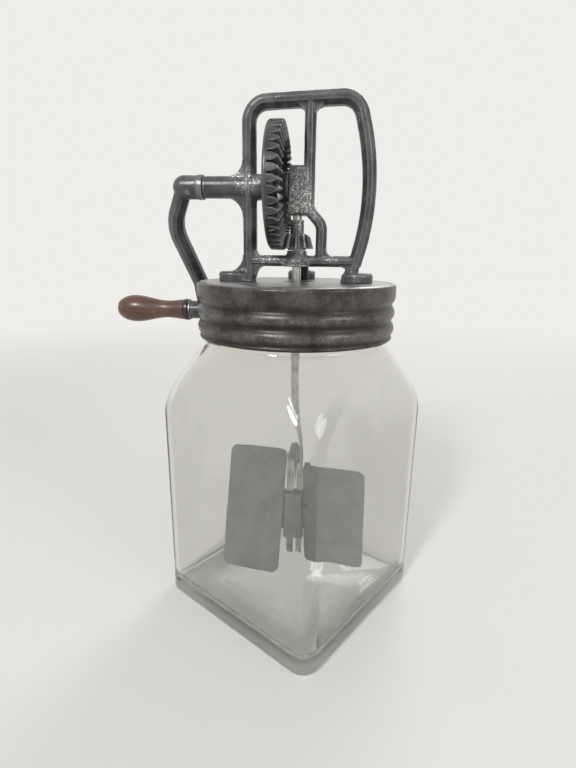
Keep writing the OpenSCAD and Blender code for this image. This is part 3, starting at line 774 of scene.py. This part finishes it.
@dataclass
class Casting:
    """An iron casting: a CAD node with its corners softened as in a sand mould."""

    node: str
    name: str
    body: Body
    voxel: float
    lumps: float
    lump_scale: float = 220.0
    soften: int = 2

    def build(self, shop: Workshop, finish: Finish) -> None:
        """Remeshes a copy of the node, softens it and adds a casting's unevenness."""
        piece = shop.copy(self.node, self.name)
        remesh = piece.modifiers.new("skin", "REMESH")
        remesh.mode = "VOXEL"
        remesh.voxel_size = self.voxel * MM
        smooth = piece.modifiers.new("soften", "SMOOTH")
        smooth.factor = 0.5
        smooth.iterations = self.soften
        shop.settle(piece)
        places: list[float] = []
        for vertex in piece.data.vertices:
            lift = noise.noise(vertex.co * self.lump_scale) * self.lumps * MM
            places.extend(vertex.co + vertex.normal * lift)
        piece.data.vertices.foreach_set("co", places)
        piece.data.update()
        shop.fit(piece, self.body, finish, (self.node,))


@dataclass
class GlassJar:
    """The square glass jar, with its rounded shoulder and threaded neck, in millimetres.

    The hollow's rings are a share of the way out to the heel and a share of the hollow's rise.
    """

    side: float = 143.0
    corner_r: float = 13.0
    sharpest_r: float = 1.0
    wall: float = 5.0
    floor: float = 9.0
    wall_h: float = 150.0
    shoulder_h: float = 55.0
    top: float = 241.5
    neck_r: float = 63.5
    neck_flare: float = 0.8
    bore_r: float = 59.0
    bore_flare: float = 0.5
    neck_rise: float = 1.0
    neck_end: float = 2.0
    lip_h: float = 1.6
    heel: float = 4.0
    inner_heel: float = 9.0
    base_hollow: float = 1.2
    floor_hollow: float = -1.5
    hollow_rings: tuple[Point, ...] = ((0.08, 1.0), (0.3, 0.9), (0.6, 0.55), (0.85, 0.12))
    turn: float = 56.0
    soft_share: float = 0.45
    thread_pitch: float = 10.6
    thread_h: float = 1.9
    thread_w: float = 1.7
    thread_from: float = 213.0
    thread_to: float = 234.0
    thread_lead: float = 2.0
    thread_fade: float = 3.0
    swell: float = 0.3
    sink: float = 0.25
    swell_scale: float = 0.03
    swell_from: float = 12.0
    corner_points: int = 40
    corner_crowd: float = 1.7
    arc_step: int = 15
    wall_steps: int = 8
    shoulder_steps: int = 22
    neck_step: float = 0.7
    bore_steps: int = 6

    def _angles(self) -> list[float]:
        """Returns directions round the jar, closer together at the corners."""
        angles = []
        for quarter in range(4):
            for k in range(self.corner_points):
                u = 2 * k / self.corner_points - 1
                bent = math.copysign(abs(u) ** self.corner_crowd, u)
                angles.append(math.radians(90 * quarter + 45 + 45 * bent))
        return angles

    @staticmethod
    def _reach(angle: float, half: float, corner: float) -> float:
        """Returns the distance from the axis to a rounded square's outline."""
        c, s = abs(math.cos(angle)), abs(math.sin(angle))
        flat = half / max(c, s)
        middle = half - corner
        if flat * min(c, s) <= middle:
            return flat
        along = middle * (c + s)
        return along + math.sqrt(max(0.0, along * along - 2 * middle * middle + corner * corner))

    def _ring(self, z: float, neck: float, inset: float = 0, blend: float = 1) -> list[Vector]:
        """Returns one ring, blended from the square body at 0 to the round neck at 1."""
        half = (self.side / 2 - inset) * (1 - blend) + neck * blend
        square_r = max(self.sharpest_r, self.corner_r - inset)
        corner = min(half, square_r * (1 - blend) + neck * blend)
        turn = math.radians(self.turn)
        ring = []
        for angle in self._angles():
            reach = self._reach(angle, half, corner)
            ring.append(Vector((math.cos(angle + turn) * reach, math.sin(angle + turn) * reach, z)))
        return ring

    def _blend(self, share: float) -> float:
        """Returns how round the shoulder is at a share of its height."""
        bend = 1 / (self.soft_share * (2 - self.soft_share))
        if share < self.soft_share:
            return bend * share**2
        return 1 - (1 - share) * 2 * bend * self.soft_share

    def _thread_end(self, run: float) -> float:
        """Returns how far the thread has risen at a distance inside its end."""
        return min(1.0, max(0.0, (run + self.thread_lead) / self.thread_fade))

    def _thread(self, ring: list[Vector]) -> list[Vector]:
        """Raises the thread's ridge on a ring of the neck."""
        raised = []
        for p in ring:
            turn = math.atan2(p.y, p.x) / (2 * math.pi) % 1.0
            lap = (p.z - self.thread_from - turn * self.thread_pitch) / self.thread_pitch
            offset = (lap - round(lap)) * self.thread_pitch
            ends = self._thread_end(p.z - self.thread_from) * self._thread_end(self.thread_to - p.z)
            rise = self.thread_h * math.exp(-((offset / self.thread_w) ** 2)) * ends
            grow = 1 + rise / math.hypot(p.x, p.y)
            raised.append(Vector((p.x * grow, p.y * grow, p.z)))
        return raised

    def _skin(
        self, inset: float, bottom: float, heel: float, hollow: float, neck: float
    ) -> list[list[Vector]]:
        """Returns rings from a base with a round heel and a hollow up to the neck's foot."""
        edge = self.side / 2 - inset - heel
        rings = [
            self._ring(bottom + hollow * rise, neck, self.side / 2 - edge * pull, 0)
            for pull, rise in self.hollow_rings
        ]
        for degrees in range(0, 91, self.arc_step):
            a = math.radians(degrees)
            rise, pull = heel * (1 - math.cos(a)), heel * (1 - math.sin(a))
            rings.append(self._ring(bottom + rise, neck, inset + pull, 0))
        start = bottom + heel
        for k in range(1, self.wall_steps + 1):
            z = start + (self.wall_h - start) * k / self.wall_steps
            rings.append(self._ring(z, neck, inset, 0))
        for k in range(1, self.shoulder_steps + 1):
            z = self.wall_h + self.shoulder_h * k / self.shoulder_steps
            rings.append(self._ring(z, neck, inset, self._blend(k / self.shoulder_steps)))
        return rings

    def _neck(self, foot: float) -> list[list[Vector]]:
        """Returns rings up the threaded neck, over the lip and down the bore."""
        start = foot + self.neck_rise
        count = int((self.top - self.neck_end - foot) / self.neck_step)
        rings = [
            self._thread(self._ring(start + k * self.neck_step, self.neck_r)) for k in range(count)
        ]
        lip_z = self.top - self.lip_h
        lip = (self.neck_r - self.bore_r) / 2
        for degrees in range(self.arc_step, 180, self.arc_step):
            a = math.radians(degrees)
            radius = self.neck_r - lip + lip * math.cos(a)
            rings.append(self._ring(lip_z + self.lip_h * math.sin(a), radius))
        for k in range(self.bore_steps + 1):
            rings.append(self._ring(lip_z - (lip_z - start) * k / self.bore_steps, self.bore_r))
        return rings

    def _uneven(self, p: Vector) -> Vector:
        """Moves a wall's point in or out a little, as pressed glass is never quite flat."""
        lift = noise.noise(p * self.swell_scale) * self.swell - self.sink
        grow = 1 + lift / math.hypot(p.x, p.y)
        return Vector((p.x * grow, p.y * grow, p.z))

    def build(self, shop: Workshop, finish: Finish) -> None:
        """Skins the jar from its base, over the rim and down to its inner floor."""
        foot = self.wall_h + self.shoulder_h
        neck, bore = self.neck_r + self.neck_flare, self.bore_r + self.bore_flare
        rings = self._skin(0, 0, self.heel, self.base_hollow, neck)
        rings += self._neck(foot)
        inside = self._skin(self.wall, self.floor, self.inner_heel, self.floor_hollow, bore)
        rings += reversed(inside)
        skin = [
            [(self._uneven(p) if self.swell_from < p.z < foot else p) * MM for p in ring]
            for ring in rings
        ]
        jar = shop.loft("jar_glass", skin)
        shop.fit(jar, Body.JAR, finish, ("glass_jar",))


@dataclass
class TinCap:
    """The screw cap of rolled sheet metal, in millimetres.

    The face is the top's profile, as radius and height. The dents are noise, as scale and size.
    """

    top: float = 245.5
    depth: float = 37.3
    outer_r: float = 69.0
    groove_r: float = 67.0
    bead_r: float = 5.6
    bead_drop: float = 19.0
    bead_pitch: float = 10.6
    beads: int = 3
    edge_r: float = 2.4
    curl_r: float = 1.3
    sheet: float = 0.9
    hole_r: float = 3.7
    face: tuple[Point, ...] = (
        (20.0, -0.1), (45.0, -0.1), (61.0, 0.0), (63.4, -0.1),
        (64.4, -0.45), (65.2, -0.5), (66.0, -0.2),
    )
    under_r: float = 60.0
    under_ease: Point = (0.4, 0.3)
    skirt_start: float = 0.6
    skirt_step: float = 0.45
    soft_step: float = 0.25
    soft_reach: int = 4
    dents: tuple[Point, ...] = ((0.035, 0.18), (0.11, 0.07))
    dent_sink: float = 0.12
    dent_from: float = 64.0
    segments: int = 224

    def _skirt(self, drop: float) -> float:
        """Returns the skirt's outer radius at a distance below the top."""
        first = self.bead_drop - self.bead_pitch
        if drop <= first:
            return self.outer_r
        reach = self.groove_r
        for k in range(self.beads):
            off = abs(drop - first - k * self.bead_pitch)
            if off < self.bead_r:
                bulge = math.sqrt(self.bead_r**2 - off**2)
                reach = max(reach, self.outer_r - self.bead_r + bulge)
        return reach

    def _soft_skirt(self, drop: float) -> float:
        """Returns the skirt's radius with its corners rolled soft."""
        steps = range(-self.soft_reach, self.soft_reach + 1)
        spread = [self._skirt(drop + step * self.soft_step) for step in steps]
        return sum(spread) / len(spread)

    def _outline(self) -> list[Point]:
        """Returns the cap's closed outline, from the shaft hole outward and back inside."""
        corner_r = self.outer_r - self.edge_r
        low = self.depth - 2 * self.curl_r
        count = int((low - self.edge_r) / self.skirt_step)
        start = self.edge_r + self.skirt_start
        drops = [start + k * self.skirt_step for k in range(count)]
        skirt = [(self._soft_skirt(drop), -drop) for drop in drops]
        outline = [(self.hole_r, 0.0), *self.face]
        outline += arc((corner_r, -self.edge_r), self.edge_r, range(90, -1, -15))
        outline += skirt
        curl = (self.groove_r - self.sheet / 2, -self.depth + self.curl_r)
        outline += arc(curl, self.curl_r, range(60, -241, -30))
        outline += [(radius - self.sheet, z) for radius, z in reversed(skirt)]
        outline.append((corner_r - self.under_ease[0], -self.sheet - self.under_ease[1]))
        outline += [(self.under_r, -self.sheet), (self.hole_r, -self.sheet)]
        return [(radius, self.top + z) for radius, z in outline]

    def _wobble(self, spot: Vector) -> float:
        """Returns the small dents of a cap that has been turned by hand for years."""
        if math.hypot(spot.x, spot.y) < self.dent_from:
            return 0.0
        return sum(noise.noise(spot * scale) * size for scale, size in self.dents) - self.dent_sink

    def build(self, shop: Workshop, finish: Finish) -> None:
        """Turns the cap."""
        axis = Matrix.Identity(4)
        cap = shop.turned("cap_tin", self._outline(), axis, self.segments, self._wobble)
        shop.fit(cap, Body.CAP, finish, ("screw_cap",))


@dataclass
class WoodGrip:
    """The turned grip and its ferrule on the crank's spindle, in millimetres.

    The tenon is the grip's step under the ferrule, whose edge is given as insets and distances.
    """

    start_x: float = -92.7
    length: float = 62.0
    bulb_r: float = 11.0
    bulb_at: float = 0.75
    waist_r: float = 7.0
    waist_at: float = 0.3
    end_r: float = 8.5
    end_span: float = 0.262
    tenon: float = 1.0
    tenon_edge: Point = (1.2, 0.3)
    ferrule: float = 4.0
    ferrule_out: float = 0.2
    ferrule_in: float = 0.98
    ferrule_edge: tuple[Point, ...] = ((0.5, 0.0), (0.1, 0.25), (0.0, 0.8))
    bore_r: float = 3.1
    head_r: float = 5.4
    head_depth: float = 6.4
    head_rim: float = 0.3
    rim_tip: Point = (0.1, 0.25)
    crank_len: float = 100.0
    swing: float = 28.0
    shaft_z: float = 307.0
    steps: int = 60
    segments: int = 96

    def _frame(self) -> Matrix:
        """Returns the grip's axis, with Z from its inner end outward."""
        a = math.radians(self.swing)
        y = math.sin(a) * self.crank_len
        z = self.shaft_z - math.cos(a) * self.crank_len
        start = Matrix.Translation(Vector((self.start_x, y, z)) * MM)
        return start @ Matrix.Rotation(-math.pi / 2, 4, "Y")

    def _radius(self, share: float) -> float:
        """Returns the grip's radius at a share of its length from the inner end."""
        if share < self.waist_at:
            return ease(self.end_r, self.waist_r, share / self.waist_at)
        if share < self.bulb_at:
            rise = (share - self.waist_at) / (self.bulb_at - self.waist_at)
            return ease(self.waist_r, self.bulb_r, rise)
        return self.bulb_r * math.sqrt(max(0.0, 1 - ((share - self.bulb_at) / self.end_span) ** 2))

    def _grip_outline(self) -> list[Point]:
        """Returns the grip's closed outline, from the bore outward and back by the head's seat."""
        first = self.ferrule / self.length
        outline = [
            (self.bore_r, 0.0),
            (self.end_r - self.tenon_edge[0], 0.0),
            (self.end_r - self.tenon, self.tenon_edge[1]),
            (self.end_r - self.tenon, self.ferrule),
        ]
        for k in range(self.steps + 1):
            share = first + (1 - first) * k / self.steps
            radius = self._radius(share)
            if radius > self.head_r + self.head_rim:
                outline.append((radius, share * self.length))
        tip = outline[-1][1]
        seat = self.length - self.head_depth
        return outline + [
            (self.head_r + self.rim_tip[0], tip + self.rim_tip[1]),
            (self.head_r, tip - self.head_rim),
            (self.head_r, seat),
            (self.bore_r, seat),
        ]

    def _ferrule_outline(self) -> list[Point]:
        """Returns the ferrule's closed outline."""
        out, inn = self.end_r + self.ferrule_out, self.end_r - self.ferrule_in
        near = [(out - inset, along) for inset, along in self.ferrule_edge]
        far = [(radius, self.ferrule - along) for radius, along in reversed(near)]
        return [(inn, 0.0), *near, *far, (inn, self.ferrule)]

    def build(self, shop: Workshop, wood: Finish, iron: Finish) -> None:
        """Turns the grip and the ferrule."""
        grip = shop.turned("grip_wood", self._grip_outline(), self._frame(), self.segments)
        shop.fit(grip, Body.GRIP, wood, ("wood_grip",))
        band = shop.turned("grip_band", self._ferrule_outline(), self._frame(), self.segments)
        shop.fit(band, Body.GRIP, iron, ("grip_ferrule",))


@dataclass
class FrameScrews:
    """The slotted screws that hold the frame's feet to the cap, in millimetres and degrees."""

    spots: tuple[Point, ...] = ((-45.475, 0.0), (46.5, 0.0), (0.0, 46.0))
    slot_turns: tuple[float, ...] = (35.0, -50.0, 12.0)
    head_z: float = 252.0
    slot_w: float = 1.1
    slot_depth: float = 1.1
    slot_len: float = 10.0
    crisp: float = 30.0

    def _cutter(self, spot: Point, turn: float) -> Piece:
        """Makes the block that cuts one slot."""
        place = Matrix.Translation(Vector((*spot, self.head_z)) * MM)
        spin = Matrix.Rotation(math.radians(turn), 4, "Z")
        size = Vector((self.slot_len, self.slot_w, 2 * self.slot_depth)) * MM
        shape = place @ spin @ Matrix.Diagonal((*size, 1.0))
        data = bpy.data.meshes.new("slot_cut")
        with edited(data) as work:
            bmesh.ops.create_cube(work, size=1.0, matrix=shape)
        return link("slot_cut", data)

    def _sharpen(self, data: bpy.types.Mesh) -> None:
        """Keeps the screws' corners crisp."""
        limit = math.radians(self.crisp)
        with edited(data) as work:
            for edge in work.edges:
                edge.smooth = len(edge.link_faces) == 2 and edge.calc_face_angle(0.0) < limit

    def build(self, shop: Workshop, finish: Finish) -> None:
        """Cuts a driver slot across each screw's head."""
        piece = shop.copy("frame_screws", "slotted_screws")
        cutters = [self._cutter(spot, turn) for spot, turn in zip(self.spots, self.slot_turns)]
        for cutter in cutters:
            cut = piece.modifiers.new("slot", "BOOLEAN")
            cut.operation = "DIFFERENCE"
            cut.object = cutter
        shop.settle(piece)
        for cutter in cutters:
            bpy.data.objects.remove(cutter)
        self._sharpen(piece.data)
        shop.fit(piece, Body.CAP, finish, ("frame_screws",))


@dataclass(frozen=True)
class Lamp:
    """A round area lamp: its place and size in metres, and its power in watts."""

    name: str
    place: Place
    size: float
    power: float


@dataclass
class Studio:
    """Floor, soft light and camera. The camera's eye and the floor's gap are in millimetres."""

    floor_rings: tuple[float, ...] = (0.05, 0.3, 0.8, 1.6, 4.0)
    floor_steps: int = 96
    gap: float = 0.4
    backdrop: Colour = (0.86, 0.85, 0.83)
    soft: Colour = (1.0, 0.985, 0.96)
    soft_power: float = 0.42
    focal_px: float = 464.36
    frame_px: float = 768.0
    pitch: float = 15.45
    yaw: float = 6.0
    roll: float = 0.75
    eye: Place = (30.0, -332.1, 263.0)
    aim: Place = (0.0, 0.0, 0.2)
    lamps: tuple[Lamp, ...] = (
        Lamp("key", (-0.66, -1.45, 1.4), 0.34, 19.0),
        Lamp("fill", (1.35, -0.9, 0.9), 0.7, 6.0),
        Lamp("back", (0.4, 1.3, 1.3), 0.8, 9.0),
    )

    def _floor(self) -> None:
        """Makes a pale floor that fades into the backdrop."""
        count = self.floor_steps
        angles = [2 * math.pi * k / count for k in range(count)]
        points = [
            (math.cos(a) * radius, math.sin(a) * radius, -self.gap * MM)
            for radius in self.floor_rings
            for a in angles
        ]
        faces = [list(range(count)), *quads(len(self.floor_rings), count)]
        data = bpy.data.meshes.new("floor")
        data.from_pydata(points, [], faces)
        floor = link("floor", data)
        floor.data.materials.append(PaleFloor("pale_floor", self.backdrop).material())

    def _world(self) -> None:
        """Lights softly all round, and shows the backdrop to the eye, gloss and clear glass."""
        world = bpy.data.worlds.new("studio")
        world.use_nodes = True
        bpy.context.scene.world = world
        graph = Graph(world.node_tree)
        rays = graph.add("ShaderNodeLightPath")
        seen = rays["Is Camera Ray"] + rays["Is Glossy Ray"] + rays["Is Transmission Ray"]
        soft, shown = (
            graph.add("ShaderNodeBackground", {"Color": colour, "Strength": power})["Background"]
            for colour, power in ((self.soft, self.soft_power), (self.backdrop, 1.0))
        )
        both = graph.blend(seen.fade(0.0, 1.0), soft, shown)
        graph.add("ShaderNodeOutputWorld", {"Surface": both})

    def _lights(self) -> None:
        """Hangs the area lamps."""
        for lamp in self.lamps:
            data = bpy.data.lights.new(lamp.name, "AREA")
            data.shape = "DISK"
            data.size = lamp.size
            data.energy = lamp.power
            hung = link(lamp.name, data)
            hung.location = lamp.place
            ahead = Vector(self.aim) - Vector(lamp.place)
            hung.rotation_euler = ahead.to_track_quat("-Z", "Y").to_euler()

    def _camera(self) -> None:
        """Sets the camera where the photograph was taken from."""
        p, a, r = (math.radians(v) for v in (self.pitch, self.yaw, self.roll))
        ahead = Vector((-math.sin(a) * math.cos(p), math.cos(a) * math.cos(p), -math.sin(p)))
        right = ahead.cross(Vector((0, 0, 1))).normalized()
        up = right.cross(ahead)
        across = right * math.cos(r) + up * math.sin(r)
        upward = up * math.cos(r) - right * math.sin(r)
        data = bpy.data.cameras.new("camera")
        data.sensor_fit = "AUTO"
        data.sensor_width = SENSOR_MM
        data.lens = self.focal_px / self.frame_px * SENSOR_MM
        data.clip_start = 0.01
        camera = link("camera", data)
        spin = Matrix((across, upward, -ahead)).transposed().to_4x4()
        camera.matrix_world = Matrix.Translation(Vector(self.eye) * MM) @ spin
        bpy.context.scene.camera = camera

    def build(self) -> None:
        """Sets the stage."""
        bpy.context.scene.view_settings.view_transform = "Standard"
        self._floor()
        self._world()
        self._lights()
        self._camera()


FRAME_RUBS = (
    Rub((-34.0, -5.0, 311.0), 15.0, 0.55),
    Rub((2.0, -8.0, 291.0), 20.0, 0.9),
    Rub((2.0, -8.0, 310.0), 16.0, 0.5),
    Rub((2.0, -7.0, 265.0), 17.0, 0.45),
    Rub((-20.0, -5.0, 263.0), 16.0, 0.65),
    Rub((24.0, -5.0, 263.0), 10.0, 0.4),
    Rub((-71.0, -3.0, 310.0), 9.0, 0.45),
    Rub((40.0, -8.0, 255.0), 9.0, 0.35),
)
DULL = TurnedSteel("dull_steel", tone=(0.3, 0.295, 0.285), shade=(0.17, 0.165, 0.16), gloss=0.34)


def build_new(shop: Workshop) -> None:
    """Builds the pieces that replace CAD nodes."""
    iron = CastIron("satin_iron", rubs=FRAME_RUBS)
    gear = CastIron(
        "gear_iron", dark=(0.026, 0.026, 0.027), light=(0.07, 0.07, 0.072), polish_and_highlight=(0.2, 0.2, 0.2)
    )
    black = CastIron(
        "blacked_iron",
        dark=(0.01, 0.01, 0.01),
        light=(0.03, 0.029, 0.028),
        worn=(0.1, 0.1, 0.095),
        polish_and_highlight=(0.045, 0.045, 0.044),
    )
    GlassJar().build(shop, PressedGlass("pressed_glass"))
    cap = TinCap()
    cap.build(shop, AgedTin("tin_patina", top_z=cap.top, crest_r=cap.outer_r))
    for casting, finish in (
        (Casting("gear_frame", "frame_casting", Body.CAP, voxel=0.55, lumps=0.1), iron),
        (Casting("crank_arm", "crank_casting", Body.CRANK, voxel=0.5, lumps=0.1), iron),
        (Casting("pinion", "pinion_casting", Body.DASHER, voxel=0.3, lumps=0.02), iron),
        (Casting("drive_gear", "gear_casting", Body.CRANK, voxel=0.48, lumps=0.04), gear),
    ):
        casting.build(shop, finish)
    WoodGrip().build(shop, VarnishedWood("grip_varnish"), black)
    FrameScrews().build(shop, DULL)


def dress_kept(shop: Workshop) -> None:
    """Dresses the CAD nodes that keep their solids."""
    bright = TurnedSteel(
        "turned_steel",
        tone=(0.62, 0.62, 0.6),
        shade=(0.42, 0.42, 0.41),
        gloss=0.2,
        turning=Cloud(900.0, 2.0, stretch=(1.0, 1.0, 12.0)),
    )
    plain = CastIron("plain_iron", worn=(0.2, 0.2, 0.195), gloss=0.4)
    sheet = SheetTin("paddle_sheet")
    kept = {
        OldRubber("gasket_rubber"): ("cap_gasket",),
        DULL: (
            "frame_nuts", "shaft_bush", "gear_pin", "thrust_washer", "grip_spindle", "grip_washer"
        ),
        bright: ("crank_shaft", "dasher_shaft"),
        plain: ("thrust_collar", "crank_pin", "pinion_pin"),
        sheet: ("paddle_hub", "hub_pin", "left_paddle", "right_paddle", "paddle_rivets"),
    }
    for finish, nodes in kept.items():
        for node in nodes:
            shop.keep(node, finish)


def main() -> None:
    """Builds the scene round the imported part."""
    logging.basicConfig(level=logging.INFO, format="%(name)s: %(message)s")
    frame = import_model()
    shop = Workshop(frame["nodes"])
    build_new(shop)
    dress_kept(shop)
    Studio().build()


if __name__ == "__main__":
    main()
